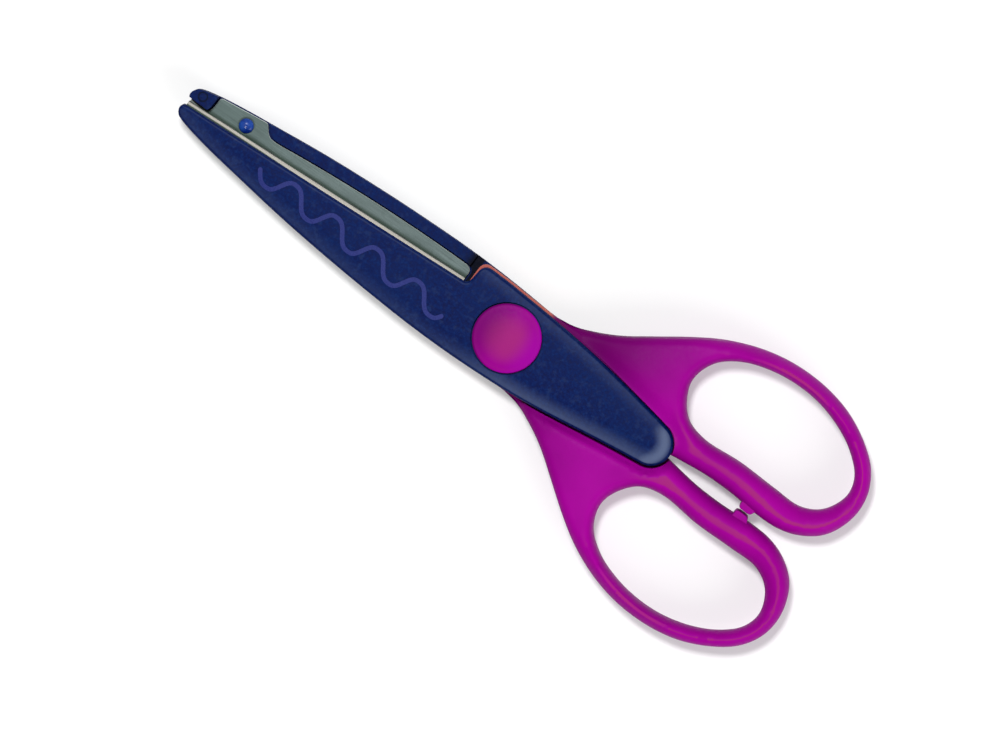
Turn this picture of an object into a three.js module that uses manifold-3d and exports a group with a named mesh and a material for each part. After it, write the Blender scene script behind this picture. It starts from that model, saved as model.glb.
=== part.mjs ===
// Pinking shears with a wave pattern, for cutting decorative edges in paper and thin cloth.
//
// Frame: millimetres, +Z up. The origin is on the pivot axis, on the flat underside that the shears lie on.
// +X points to the blade tips, and +Y to the side that the front (upper) blade lies on. The shears are closed.
//
// The shears are two halves that are each other turned half a turn about the X axis, apart from the wave of the
// blades, which fit into each other. Each half is drawn in its own half frame: z = 0 is the shear plane, its own
// parts are above it, its blade is on the +Y side and its finger loop on the -Y side.

import * as THREE from "three";
import { mergeVertices } from "three/addons/utils/BufferGeometryUtils.js";
import Module from "manifold-3d";

const wasm = await Module();
wasm.setup();

// ---------------------------------------------------------------- driving dimensions

const HALF_THICKNESS = 5.5; // shear plane to the caps' and the finger loops' outer faces
const SHEAR_GAP = 0.15; // shear plane to each half's nearest flat face

// Heights above the shear plane, in the half frame.
const PLATE_IN = 2.4; // blade's plate, inner face
const PLATE_OUT = 3.2; // blade's plate, outer face
const HANDLE_OUT = 2.2; // handle's hub plate, outer face
const HOUSING_OVER_HANDLE = 2.3;
const HOUSING_OVER_BLADE = 3.3;
const HOUSING_OUT = 5.1;
const RIM_IN = 1.0; // inner face of the rim beside the blade
const TIP_GUARD_IN = -1.0; // the tip guard reaches past the shear plane
const TIP_GUARD_Y = 0.9; // and stops short of the flange

// The blade's wave, seen along the cut.
const WAVE_HEIGHT = 2.0; // from the middle to a crest
const WAVE_LENGTH = 10.9;
const WAVE_GAP = 0.08; // shear surface to each rim
const STEEL = PLATE_OUT - PLATE_IN;
const BEND_RADIUS = 0.9;

// The cut line is the housing's straight edge. The flange's outer face stands out of it, a little more at the tip.
// Both pass below the pivot by an offset and rise by a slope towards the tip.
const CUT_OFFSET = 5.36;
const CUT_SLOPE = 0.0719;
const FLANGE_OFFSET = 5.8;
const FLANGE_SLOPE = 0.0672;
const BLADE_ROOT_X = 14.6;
const BLADE_TIP_X = 83.2;

// Pivot.
const CAP_RADIUS = 7.35;
const CAP_GAP = 0.3;
const CAP_SKIRT_RADIUS = 6.2;
const BARREL_RADIUS = 2.5;
const BORE_RADIUS = 2.58;
const WASHER_RADIUS = 3.9;
const THRUST_RADIUS = 6.0;

// Fixings that hold a blade on its housing: centre, head radius and head height.
const RIVETS = {
  tip: { x: 70.6, y: 2.85, head: 1.6, height: 0.8 },
  middle: { x: 44, y: 0.2, head: 1.5, height: 0.25 },
  root: { x: 20.5, y: 0.8, head: 1.8, height: 0.25 },
};
const RIVET_SHANK = 0.95;

// Pegs moulded under the housing, staked through the handle's hub plate.
const PEG_RADIUS = 1.5;
const PEGS = [[9.6, 5], [9.6, -5], [-17, 0], [-32, 0]];

const CURVE_STEPS = 2;
const ROUND_STEPS = 32;
const FAR = 100;

// ---------------------------------------------------------------- materials

const housingBlue = new THREE.MeshStandardMaterial({ color: 0x0b2560, roughness: 0.55, metalness: 0 });
const handleMagenta = new THREE.MeshStandardMaterial({ color: 0x9c0a94, roughness: 0.42, metalness: 0 });
const bladeSteel = new THREE.MeshStandardMaterial({ color: 0x8b9994, roughness: 0.32, metalness: 1 });
const rivetBlue = new THREE.MeshStandardMaterial({ color: 0x1733a0, roughness: 0.25, metalness: 0 });
const pivotSteel = new THREE.MeshStandardMaterial({ color: 0xb4b6b8, roughness: 0.3, metalness: 1 });
const thrustNylon = new THREE.MeshStandardMaterial({ color: 0xe8e6df, roughness: 0.5, metalness: 0 });

// ---------------------------------------------------------------- helpers

const points = (list) => list.map(([x, y]) => new THREE.Vector2(x, y));

function solid(geometry) {
  const bare = geometry.clone();
  bare.deleteAttribute("normal");
  bare.deleteAttribute("uv");
  const merged = mergeVertices(bare, 1e-4);
  const mesh = new wasm.Mesh({
    numProp: 3,
    vertProperties: merged.attributes.position.array,
    triVerts: new Uint32Array(merged.index.array),
  });
  return new wasm.Manifold(mesh);
}

function geometryOf(manifold) {
  const mesh = manifold.getMesh();
  return new THREE.BufferGeometry()
    .setAttribute("position", new THREE.BufferAttribute(mesh.vertProperties, 3))
    .setIndex(new THREE.BufferAttribute(mesh.triVerts, 1));
}

// A plan shape as a solid from z = low to z = high, with its edges rounded inwards where a rounding is given.
function slab(shape, low, high, rounding) {
  const { across = 0, along = 0, steps = 2 } = rounding ?? {};
  const geometry = new THREE.ExtrudeGeometry(shape, {
    depth: high - low - 2 * along,
    curveSegments: CURVE_STEPS,
    bevelEnabled: across > 0,
    bevelSize: across,
    bevelOffset: -across,
    bevelThickness: along,
    bevelSegments: steps,
  });
  return solid(geometry.translate(0, 0, low + along));
}

function disc(x, y, radius, low, high, steps = ROUND_STEPS) {
  const geometry = new THREE.CylinderGeometry(radius, radius, high - low, steps);
  return solid(geometry.rotateX(Math.PI / 2).translate(x, y, (low + high) / 2));
}

function block(x0, x1, y0, y1, z0, z1) {
  const geometry = new THREE.BoxGeometry(x1 - x0, y1 - y0, z1 - z0);
  return solid(geometry.translate((x0 + x1) / 2, (y0 + y1) / 2, (z0 + z1) / 2));
}

// A turned piece about the Z axis from its [radius, z] profile.
function turned(profile, steps = ROUND_STEPS) {
  return solid(new THREE.LatheGeometry(points(profile), steps).rotateX(Math.PI / 2));
}

// ---------------------------------------------------------------- outlines in the half frame

const cutLine = (x) => CUT_SLOPE * x - CUT_OFFSET;
const flangeLine = (x) => FLANGE_SLOPE * x - FLANGE_OFFSET;

// A housing's edge on the blade's side from its tip to its hub, and then both edges of its tail, which leans
// towards the handle. TAIL_BACK holds distances from the middle line on the handle's side.
const HOUSING_EDGE = [
  [82.4, 3.65], [79.5, 4.4], [74, 5.35], [65, 6.5], [53, 7.9], [41, 8.9], [29, 9.6], [17, 10],
];
const TAIL_EDGE = [[6, 9.85], [-7, 9.05], [-13, 8.35], [-19, 7.45], [-25, 6.45], [-31, 5.5], [-36.5, 4.72]];
const TAIL_BACK = [[6, 9.65], [-7, 8.95], [-19, 7.85], [-31, 6.1], [-36.5, 5.2]];
const NOSE = { x: -37.6, y: -0.2, long: 4.5, wide: 4.72 };

// The tail's edge from hub to nose, the nose, and the other edge back to the hub. Each is drawn further out by
// grow where another part needs room for it.
function tailEdge(shape, grow) {
  shape.splineThru(points(TAIL_EDGE.map(([x, y]) => [x, y + grow])));
}

function noseArc(shape, grow) {
  const from = Math.PI * 0.54;
  for (const [start, end] of [[from, Math.PI], [Math.PI, 2 * Math.PI - from]]) {
    shape.absellipse(NOSE.x, NOSE.y, NOSE.long + grow, NOSE.wide + grow, start, end, false);
  }
}

function tailBack(shape, grow, hubX) {
  const edge = TAIL_BACK.filter(([x]) => x < hubX).map(([x, y]) => [x, -y - grow]);
  shape.splineThru(points(edge.reverse()));
}

function housingOutline() {
  const shape = new THREE.Shape();
  shape.moveTo(14.6, cutLine(14.6));
  shape.lineTo(83.2, cutLine(83.2));
  shape.splineThru(points([[83.75, 0.95], [84, 1.6], [83.85, 2.35], [83.35, 3.1], ...HOUSING_EDGE]));
  tailEdge(shape, 0);
  noseArc(shape, 0);
  tailBack(shape, 0, 10);
  shape.lineTo(11, -9.7);
  shape.quadraticCurveTo(12.9, -9.6, 13.1, -7.8);
  shape.lineTo(13.3, -5.9);
  shape.quadraticCurveTo(13.4, cutLine(13.4), 14.6, cutLine(14.6));
  return shape;
}

// Room for a housing's hub and tail: its plan, larger by grow, as far as x = 20.
function tailRoom(grow) {
  const shape = new THREE.Shape();
  const wide = TAIL_EDGE[0][1] + grow;
  shape.moveTo(20, -wide);
  shape.lineTo(20, wide);
  shape.lineTo(8, wide);
  tailEdge(shape, grow);
  noseArc(shape, grow);
  tailBack(shape, grow, 10);
  shape.lineTo(8, -wide);
  shape.closePath();
  return shape;
}

// The plate's edge away from the cut: the narrow strip, the step and the wide end that the tip rivet holds.
const PLATE_EDGE = [[16.4, 7], [22, 6.9], [30, 6.6], [40, 6.0], [50, 5.15], [58, 4.3], [63, 3.72]];

function plateOutline(grow) {
  const shape = new THREE.Shape();
  const out = ([x, y]) => [x, y + grow];
  shape.moveTo(BLADE_ROOT_X - grow, flangeLine(BLADE_ROOT_X) + 0.95);
  shape.lineTo(79 + grow, flangeLine(79) + 0.95);
  shape.quadraticCurveTo(78.5 + grow, 1.1, 78.4 + grow, 2.0);
  shape.lineTo(78.3 + grow, 4.0 + grow);
  shape.quadraticCurveTo(78.2 + grow, 4.5 + grow, 77.6 + grow, 4.55 + grow);
  shape.lineTo(67.7, 5.95 + grow);
  shape.quadraticCurveTo(67.1, 6.0 + grow, 66.7 - grow, 5.4 + grow);
  shape.splineThru(points([[65.9 - grow, 4.45 + grow], [64.9 - grow, 3.8 + grow], ...PLATE_EDGE.map(out).reverse()]));
  shape.quadraticCurveTo(BLADE_ROOT_X - grow, 7 + grow, BLADE_ROOT_X - grow, 5.6);
  shape.closePath();
  return shape;
}

// The finger loop and the web that joins it to the hub. v is the distance from the middle line.
const LOOP_OUTSIDE = [
  [-6, 9.6], [-10, 10.25], [-14, 11.7], [-19, 14.3], [-25, 18.5], [-31, 22.8], [-37, 26.6], [-43, 29.3], [-49, 30.9],
  [-55, 31.5], [-61, 31.15], [-67, 29.75], [-73, 26.85], [-77.5, 23.3], [-80.1, 19.1], [-80.9, 14.8],
  [-80.2, 10.3], [-78, 6.1], [-74, 3], [-69.5, 1.45], [-64, 1.15], [-57, 1.6], [-50, 1.45], [-42.6, 0.5],
];
const LOOP_HOLE = [
  [-36.5, 16.4], [-37.8, 12.2], [-41, 8.6], [-46, 7.25], [-55, 7.85], [-64, 7.7], [-70.5, 7.85], [-74.7, 10.3],
  [-77, 15.5], [-75.8, 19.8], [-71.6, 23.7], [-66, 26.45], [-60, 27.95], [-54, 28.15], [-48, 27.2],
  [-42.5, 25.1], [-38.2, 21.5], [-36.5, 16.4],
];
const flip = (list) => list.map(([x, v]) => [x, -v]);

function loopOutline() {
  const shape = new THREE.Shape();
  shape.moveTo(LOOP_OUTSIDE[0][0], -LOOP_OUTSIDE[0][1]);
  shape.splineThru(points(flip(LOOP_OUTSIDE.slice(1))));
  shape.lineTo(-36, -0.5);
  shape.lineTo(-6, -6);
  shape.closePath();
  const hole = new THREE.Path();
  hole.moveTo(LOOP_HOLE[0][0], -LOOP_HOLE[0][1]);
  hole.splineThru(points(flip(LOOP_HOLE.slice(1))));
  shape.holes.push(hole);
  return shape;
}

// The handle's thin plate under the housing's hub and tail. Its edge shows beyond the housing on the loop's side.
function hubOutline() {
  const shape = new THREE.Shape();
  const shy = -0.3;
  shape.moveTo(13.5, -8.2);
  shape.lineTo(13.5, 7.4);
  shape.quadraticCurveTo(13.5, 9.4, 11.5, 9.45);
  shape.lineTo(8, 9.4);
  tailEdge(shape, shy);
  noseArc(shape, shy);
  tailBack(shape, shy, -12);
  shape.lineTo(-12, -9.6);
  shape.splineThru(points([[-6, -9.55], [0, -9.7], [6, -9.95], [11.4, -10]]));
  shape.quadraticCurveTo(13.3, -9.95, 13.5, -8.2);
  return shape;
}

// Side view of a handle: the web rises from the hub plate to the loop's full thickness on both faces.
function handleSideOutline() {
  const shape = new THREE.Shape();
  shape.moveTo(20, HANDLE_OUT);
  shape.lineTo(-6, HANDLE_OUT);
  shape.splineThru(points([[-11, 2.5], [-17, 3.5], [-23, 4.7], [-29, 5.35], [-34, HALF_THICKNESS]]));
  shape.lineTo(-90, HALF_THICKNESS);
  shape.lineTo(-90, -HALF_THICKNESS);
  shape.lineTo(-34, -HALF_THICKNESS);
  shape.splineThru(points([[-26, -5.2], [-19, -4.6], [-13, -3.2], [-9.5, SHEAR_GAP]]));
  shape.lineTo(20, SHEAR_GAP);
  shape.closePath();
  return shape;
}

// ---------------------------------------------------------------- the two halves' pieces

function handle() {
  const side = new THREE.ExtrudeGeometry(handleSideOutline(), {
    depth: 2 * FAR,
    curveSegments: CURVE_STEPS,
    bevelEnabled: false,
  }).rotateX(Math.PI / 2).translate(0, FAR, 0);
  const ownTail = slab(tailRoom(0.3), HANDLE_OUT, FAR);
  const otherTail = slab(tailRoom(0.5), -FAR, SHEAR_GAP).scale([1, -1, 1]); // the other half's leans this way
  const ring = slab(loopOutline(), -HALF_THICKNESS, HALF_THICKNESS, { across: 1.25, along: 2.4 })
    .intersect(solid(side))
    .subtract(ownTail)
    .subtract(otherTail);
  const stop = new THREE.Shape(points([[-63.6, -1.6], [-63, -0.45], [-62.3, -0.25], [-60.6, -0.25], [-60, -0.5],
    [-59.9, -2.2], [-61.7, -2.6]]));
  return ring
    .add(slab(hubOutline(), SHEAR_GAP, HANDLE_OUT))
    .add(slab(stop, -3.2, 3.2))
    .subtract(disc(0, 0, BORE_RADIUS, -FAR, FAR))
    .subtract(disc(0, 0, THRUST_RADIUS + 0.3, -FAR, 0.45))
    .subtract(disc(0, 0, WASHER_RADIUS + 0.3, 1.6, FAR))
    .subtract(pegs(PEG_RADIUS + 0.3, -FAR, FAR));
}

function pegs(radius, low, high) {
  return PEGS.map(([x, y]) => disc(x, y, radius, low, high, 16)).reduce((all, peg) => all.add(peg));
}

function rivetHoles(radius, low, high) {
  return Object.values(RIVETS)
    .map(({ x, y }) => disc(x, y, radius, low, high, 16))
    .reduce((all, hole) => all.add(hole));
}

function housing() {
  const bay = slab(plateOutline(0.4), -FAR, HOUSING_OVER_BLADE);
  const cutSide = new THREE.Shape(points([[13.4, -20], [90, -20], [90, TIP_GUARD_Y], [78.6, TIP_GUARD_Y],
    [60, 1.6], [13.4, 4]]));
  return slab(housingOutline(), TIP_GUARD_IN, HOUSING_OUT, { across: 0.55, along: 0.9 })
    .subtract(block(-FAR, 13.9, -FAR, FAR, -FAR, HOUSING_OVER_HANDLE))
    .subtract(block(13.8, 78.75, -FAR, FAR, -FAR, RIM_IN))
    .subtract(block(13.8, 15.3, -FAR, FAR, -FAR, RIM_IN + 1.5))
    .subtract(bay)
    .subtract(slab(cutSide, -FAR, HOUSING_OVER_BLADE))
    .subtract(block(78.4, 90, -20, TIP_GUARD_Y + 0.7, PLATE_IN - 0.4, HOUSING_OVER_BLADE))
    .add(pegs(PEG_RADIUS, 0.4, HOUSING_OVER_HANDLE + 0.5))
    .subtract(disc(0, 0, CAP_SKIRT_RADIUS + CAP_GAP, -FAR, FAR))
    .subtract(disc(0, 0, CAP_RADIUS + CAP_GAP, 4.1, FAR))
    .subtract(rivetHoles(RIVET_SHANK + 0.15, 0, 4.5))
    .subtract(disc(81.4, 2.6, 1.05, TIP_GUARD_IN - 1, TIP_GUARD_IN + 0.3, 20));
}

// Height of the surface that the two blades' rims meet in, at a distance from the pivot axis. It depends on
// that distance alone, so the rims slide past each other at every opening angle.
const wave = (radius) => WAVE_HEIGHT * Math.cos((2 * Math.PI * (radius - BLADE_ROOT_X)) / WAVE_LENGTH);

// The bent edge: an L section along the cut line, whose free rim follows the wave. waveSide is 1 or -1.
function flange(waveSide) {
  const section = new THREE.Shape();
  section.moveTo(0, 0);
  section.lineTo(STEEL, 0);
  section.lineTo(STEEL, PLATE_IN);
  section.lineTo(1.5 * STEEL, PLATE_IN);
  section.lineTo(1.5 * STEEL, PLATE_OUT);
  section.lineTo(BEND_RADIUS, PLATE_OUT);
  section.absarc(BEND_RADIUS, PLATE_OUT - BEND_RADIUS, BEND_RADIUS, Math.PI / 2, Math.PI, false);
  section.closePath();
  const angle = Math.atan(FLANGE_SLOPE);
  const length = (BLADE_TIP_X - BLADE_ROOT_X) / Math.cos(angle);
  const geometry = new THREE.ExtrudeGeometry(section, {
    depth: length,
    steps: 50,
    curveSegments: 1,
    bevelEnabled: false,
  });
  // Section x goes across the flange, section y up, and the depth along the cut line towards the root.
  geometry.rotateX(Math.PI / 2).rotateZ(Math.PI / 2);
  geometry.rotateZ(angle).translate(BLADE_ROOT_X, flangeLine(BLADE_ROOT_X), 0);
  const place = geometry.attributes.position;
  for (let i = 0; i < place.count; i++) {
    if (Math.abs(place.getZ(i)) < 1e-3) {
      place.setZ(i, waveSide * wave(Math.hypot(place.getX(i), place.getY(i))) + WAVE_GAP);
    }
  }
  return solid(geometry);
}

function blade(waveSide) {
  return flange(waveSide)
    .add(slab(plateOutline(0), PLATE_IN, PLATE_OUT))
    .subtract(rivetHoles(RIVET_SHANK + 0.1, PLATE_IN - 0.5, PLATE_OUT + 0.5));
}

function rivet({ x, y, head, height }) {
  const under = PLATE_IN - 0.05;
  const dome = [];
  for (let i = 0; i <= 3; i++) {
    const turn = (i / 3) * (Math.PI / 2);
    dome.push([head * Math.sin(turn), under - height * Math.cos(turn)]);
  }
  dome[0][0] = 0;
  const profile = [...dome, [RIVET_SHANK, under], [RIVET_SHANK, 4.4], [0, 4.4]];
  return turned(profile, 16).translate([x, y, 0]);
}

function cap() {
  const under = 4.2;
  const face = HALF_THICKNESS;
  return turned([
    [0, under], [CAP_SKIRT_RADIUS - 1, under], [CAP_SKIRT_RADIUS - 1, 2.9], [CAP_SKIRT_RADIUS, 2.9],
    [CAP_SKIRT_RADIUS, under], [CAP_RADIUS, under], [CAP_RADIUS, face - 0.6], [CAP_RADIUS - 0.5, face - 0.15],
    [5, face], [0, face],
  ]);
}

function washer(outer, low, high) {
  return turned([[BORE_RADIUS, low], [outer, low], [outer, high], [BORE_RADIUS, high], [BORE_RADIUS, low]]);
}

// ---------------------------------------------------------------- the pivot's pieces, in the front half's frame

// Screw from the front: a pan head with a slot and a shank in the barrel nut.
function pivotScrew() {
  const head = turned([
    [0, -2.6], [1.3, -2.6], [1.5, -2.4], [1.5, 2.72], [3.3, 2.72], [3.3, 3.3], [2.9, 3.75], [0, 3.85],
  ]);
  return head.subtract(block(-4, 4, -0.45, 0.45, 3.3, 5));
}

// Barrel nut from the rear: the smooth barrel that both halves turn on.
function barrelNut() {
  return turned([
    [0, -3.85], [2.9, -3.75], [3.3, -3.3], [3.3, -2.2], [BARREL_RADIUS, -2.2], [BARREL_RADIUS, 2.62],
    [1.65, 2.62], [1.65, -2.8], [0, -2.8],
  ]);
}

// Dished spring washer under the screw's head.
function springWasher() {
  return turned([[2.7, 2.25], [3.85, 2.1], [3.85, 2.4], [2.7, 2.6], [2.7, 2.25]]);
}

// ---------------------------------------------------------------- assembly

function named(name, manifold, material) {
  const mesh = new THREE.Mesh(geometryOf(manifold), material);
  mesh.name = name;
  return mesh;
}

function half(side, waveSide) {
  const group = new THREE.Group();
  group.add(named(`${side}_blade_housing`, housing(), housingBlue));
  group.add(named(`${side}_handle`, handle(), handleMagenta));
  group.add(named(`${side}_wave_blade`, blade(waveSide), bladeSteel));
  group.add(named(`${side}_pivot_cap`, cap(), handleMagenta));
  group.add(named(`${side}_flat_washer`, washer(WASHER_RADIUS, 1.65, 2.05), pivotSteel));
  for (const [place, sizes] of Object.entries(RIVETS)) {
    group.add(named(`${side}_${place}_rivet`, rivet(sizes), rivetBlue));
  }
  group.position.z = HALF_THICKNESS;
  return group;
}

const shears = new THREE.Group();

const front = half("front", 1);
shears.add(front);

const rear = half("rear", -1);
rear.rotation.x = Math.PI;
shears.add(rear);

const pivot = new THREE.Group();
pivot.add(named("pivot_screw", pivotScrew(), pivotSteel));
pivot.add(named("pivot_barrel_nut", barrelNut(), pivotSteel));
pivot.add(named("pivot_spring_washer", springWasher(), pivotSteel));
pivot.add(named("pivot_thrust_washer", washer(THRUST_RADIUS, -0.35, 0.35), thrustNylon));
pivot.position.z = HALF_THICKNESS;
shears.add(pivot);

export default shears;
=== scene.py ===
"""Pinking shears with a wave pattern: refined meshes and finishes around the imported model.

Each half of the shears is drawn in millimetres in its own half frame: z = 0 is the shear plane, the half's
own parts are above it, its blade is on the +Y side and its finger loop on the -Y side. The front half is that
frame raised to the shear plane, and the rear half is the same turned half a turn about the X axis.
"""

import math

import bmesh
import bpy
import numpy as np
from mathutils import Matrix, Vector
from mathutils.geometry import delaunay_2d_cdt


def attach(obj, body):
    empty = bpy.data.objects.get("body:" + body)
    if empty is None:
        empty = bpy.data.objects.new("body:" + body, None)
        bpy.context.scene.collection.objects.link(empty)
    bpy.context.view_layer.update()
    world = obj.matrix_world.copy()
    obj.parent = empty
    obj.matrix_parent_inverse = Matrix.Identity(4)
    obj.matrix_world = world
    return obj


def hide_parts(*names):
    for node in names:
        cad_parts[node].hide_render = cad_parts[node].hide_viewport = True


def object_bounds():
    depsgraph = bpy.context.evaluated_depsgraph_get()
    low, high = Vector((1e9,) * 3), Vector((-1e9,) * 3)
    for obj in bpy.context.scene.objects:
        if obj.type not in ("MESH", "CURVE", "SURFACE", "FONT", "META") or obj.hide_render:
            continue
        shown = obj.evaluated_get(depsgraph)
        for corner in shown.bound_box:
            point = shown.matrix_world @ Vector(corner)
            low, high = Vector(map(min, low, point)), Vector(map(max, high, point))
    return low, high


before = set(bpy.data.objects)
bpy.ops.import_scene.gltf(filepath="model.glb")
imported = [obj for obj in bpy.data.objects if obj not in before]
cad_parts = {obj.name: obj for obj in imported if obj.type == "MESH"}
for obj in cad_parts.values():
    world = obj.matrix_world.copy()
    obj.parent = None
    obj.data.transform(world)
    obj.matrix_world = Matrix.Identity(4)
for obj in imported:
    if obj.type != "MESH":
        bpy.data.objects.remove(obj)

CAD_LOW, CAD_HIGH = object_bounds()
MM = 0.001
SHEAR_Z = (CAD_LOW.z + CAD_HIGH.z) / 2 / MM

# ------------------------------------------------------------------ sizes in the half frame, millimetres

# Heights above the shear plane.
SHEAR_GAP, HANDLE_OUT = 0.15, 2.2
PLATE_IN, PLATE_OUT = 2.4, 3.2
HOUSING_OVER_HANDLE, HOUSING_OVER_BLADE, HOUSING_OUT = 2.3, 3.3, 5.1
RIM_IN, TIP_GUARD_IN = 1.0, -1.0
STOP_HEIGHT = 3.2
RIVET_END = 4.4
CAP_UNDER, HALF_THICKNESS = 4.15, 5.5

# The blade, the cut, and the pivot.
WAVE_HEIGHT, WAVE_LENGTH, WAVE_GAP = 2.0, 10.9, 0.08
STEEL = PLATE_OUT - PLATE_IN
BEND_RADIUS = 0.95
CUT_OFFSET, CUT_SLOPE = 5.36, 0.0719
FLANGE_OFFSET, FLANGE_SLOPE = 5.8, 0.0672
BLADE_ROOT_X, BLADE_TIP_X = 14.6, 83.2
CAP_RADIUS, CAP_GAP, CAP_SKIRT_RADIUS = 7.35, 0.3, 6.2
BORE_RADIUS, WASHER_RADIUS, THRUST_RADIUS = 2.58, 3.9, 6.0
# Each rivet's x, y, head radius and head height.
RIVETS = {"tip": (70.6, 2.85, 1.6, 0.8), "middle": (44, 0.2, 1.5, 0.25), "root": (20.5, 0.8, 1.8, 0.25)}
RIVET_SHANK = 0.95

# The housing, along its length. FAR is past every face.
HUB_END, BAY_START, GUARD_START = 13.5, 13.8, 78.4
TIP_GUARD_Y = 0.9
GUARD_MARK_X, GUARD_MARK_Y, GUARD_MARK_RADIUS = 81.4, 2.6, 1.05
LEAF_ROUND = 0.8
FAR = 100

# A housing's tip, its edge on the blade's side, its tail's edge on that side and on the handle's side (as
# distances from the middle line), its nose, and the edge of the blade's plate.
HOUSING_TIP = [(83.75, 0.95), (84, 1.6), (83.85, 2.35), (83.35, 3.1)]
HOUSING_EDGE = [(82.4, 3.65), (79.5, 4.4), (74, 5.35), (65, 6.5), (53, 7.9), (41, 8.9), (29, 9.6), (17, 10)]
TAIL_EDGE = [(6, 9.85), (-7, 9.05), (-13, 8.35), (-19, 7.45), (-25, 6.45), (-31, 5.5), (-36.5, 4.72)]
TAIL_BACK = [(6, 9.65), (-7, 8.95), (-19, 7.85), (-31, 6.1), (-36.5, 5.2)]
NOSE_X, NOSE_Y, NOSE_LONG, NOSE_WIDE = -37.6, -0.2, 4.5, 4.72
PLATE_EDGE = [(63, 3.72), (58, 4.3), (50, 5.15), (40, 6.0), (30, 6.6), (22, 6.9), (16.4, 7)]

# The finger loop's outside and its hole, as (x, distance from the middle line).
LOOP_OUTSIDE = [
    (-6, 9.6), (-10, 10.25), (-14, 11.7), (-19, 14.3), (-25, 18.5), (-31, 22.8), (-37, 26.6), (-43, 29.3),
    (-49, 30.9), (-55, 31.5), (-61, 31.15), (-67, 29.75), (-73, 26.85), (-77.5, 23.3), (-80.1, 19.1),
    (-80.9, 14.8), (-80.2, 10.3), (-78, 6.1), (-74, 3), (-69.5, 1.45), (-64, 1.15), (-57, 1.6), (-50, 1.45),
    (-42.6, 0.5),
]
LOOP_HOLE = [
    (-36.5, 16.4), (-37.8, 12.2), (-41, 8.6), (-46, 7.25), (-55, 7.85), (-64, 7.7), (-70.5, 7.85),
    (-74.7, 10.3), (-77, 15.5), (-75.8, 19.8), (-71.6, 23.7), (-66, 26.45), (-60, 27.95), (-54, 28.15),
    (-48, 27.2), (-42.5, 25.1), (-38.2, 21.5),
]

# The stop on the loop's straight inner side. The other half's stop faces it when the shears are closed.
STOP_BUMP = [
    (-63.6, -1.6), (-63, -0.45), (-62.3, -0.25), (-60.6, -0.25), (-60, -0.5), (-59.9, -2.2), (-61.7, -2.6),
]

# The web's faces between the hub and the loop, as (x, height).
WEB_TOP = [(-90, 5.5), (-34, 5.5), (-29, 5.35), (-23, 4.7), (-17, 3.5), (-11, 2.5), (-6, 2.2), (20, 2.2)]
WEB_UNDER = [(-90, -5.5), (-34, -5.5), (-26, -5.2), (-19, -4.6), (-13, -3.2), (-9.5, 0.15), (20, 0.15)]


def cut_line(x):
    """Y of the housing's straight edge along the cut."""
    return CUT_SLOPE * x - CUT_OFFSET


def flange_line(x):
    """Y of the blade flange's outer face."""
    return FLANGE_SLOPE * x - FLANGE_OFFSET


# ------------------------------------------------------------------ curves

def smooth(points, closed=False, step=0.8):
    """Points about step apart on the smooth curve through the given ones (centripetal Catmull-Rom)."""
    p = np.array(points, float)
    before, after = (p[-1], p[0]) if closed else (2 * p[0] - p[1], 2 * p[-1] - p[-2])
    chain = [before, *p, after] + ([p[1]] if closed else [])
    out = []
    for a, b, c, d in zip(chain, chain[1:], chain[2:], chain[3:]):
        t1 = math.sqrt(np.linalg.norm(b - a))
        t2 = t1 + math.sqrt(np.linalg.norm(c - b))
        t3 = t2 + math.sqrt(np.linalg.norm(d - c))
        count = max(1, math.ceil(np.linalg.norm(c - b) / step))
        for t in t1 + (t2 - t1) * np.arange(count) / count:
            ab = (a * (t1 - t) + b * t) / t1
            bc = (b * (t2 - t) + c * (t - t1)) / (t2 - t1)
            cd = (c * (t3 - t) + d * (t - t2)) / (t3 - t2)
            abc = (ab * (t2 - t) + bc * t) / t2
            bcd = (bc * (t3 - t) + cd * (t - t1)) / (t3 - t1)
            out.append((abc * (t2 - t) + bcd * (t - t1)) / (t2 - t1))
    if not closed:
        out.append(p[-1])
    return np.array(out)


def line(*corners, step=0.8):
    """Points about step apart along straight lines between corners."""
    out = []
    for a, b in zip(np.array(corners[:-1], float), np.array(corners[1:], float)):
        count = max(1, math.ceil(np.linalg.norm(b - a) / step))
        out += [a + (b - a) * i / count for i in range(count)]
    return np.array(out + [np.array(corners[-1], float)])


def arc(x, y, rx, ry, start, end, step=0.5):
    """Points on an elliptical arc, with its angles in degrees."""
    count = max(3, math.ceil(abs(math.radians(end - start)) * max(rx, ry) / step))
    turn = np.radians(np.linspace(start, end, count + 1))
    return np.column_stack((x + rx * np.cos(turn), y + ry * np.sin(turn)))


def corner(a, b, c, step=0.25):
    """Points on the rounded corner from a to c with its control point at b."""
    a, b, c = (np.array(v, float) for v in (a, b, c))
    count = max(3, math.ceil((np.linalg.norm(b - a) + np.linalg.norm(c - b)) / step))
    t = np.linspace(0, 1, count + 1)[:, None]
    return (1 - t) ** 2 * a + 2 * t * (1 - t) * b + t ** 2 * c


def joined(*runs):
    """One closed outline from runs of points, without repeated points."""
    out = []
    for p in np.vstack(runs):
        if not out or np.linalg.norm(p - out[-1]) > 0.04:
            out.append(p)
    while np.linalg.norm(out[0] - out[-1]) < 0.04:
        out.pop()
    return np.array(out)


def mirrored(points):
    """The same points on the other side of the middle line."""
    return [(x, -y) for x, y in points]


# ------------------------------------------------------------------ outlines

def tail_edge(grow):
    """The housing's edge from its hub to its nose."""
    return smooth([(x, y + grow) for x, y in TAIL_EDGE])


def nose(grow):
    """The round end of the housing's tail."""
    return arc(NOSE_X, NOSE_Y, NOSE_LONG + grow, NOSE_WIDE + grow, 97.2, 262.8)


def tail_back(grow, hub_x):
    """The edge on the handle's side, from the nose to the hub."""
    return smooth([(x, -y - grow) for x, y in reversed(TAIL_BACK) if x < hub_x])


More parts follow.
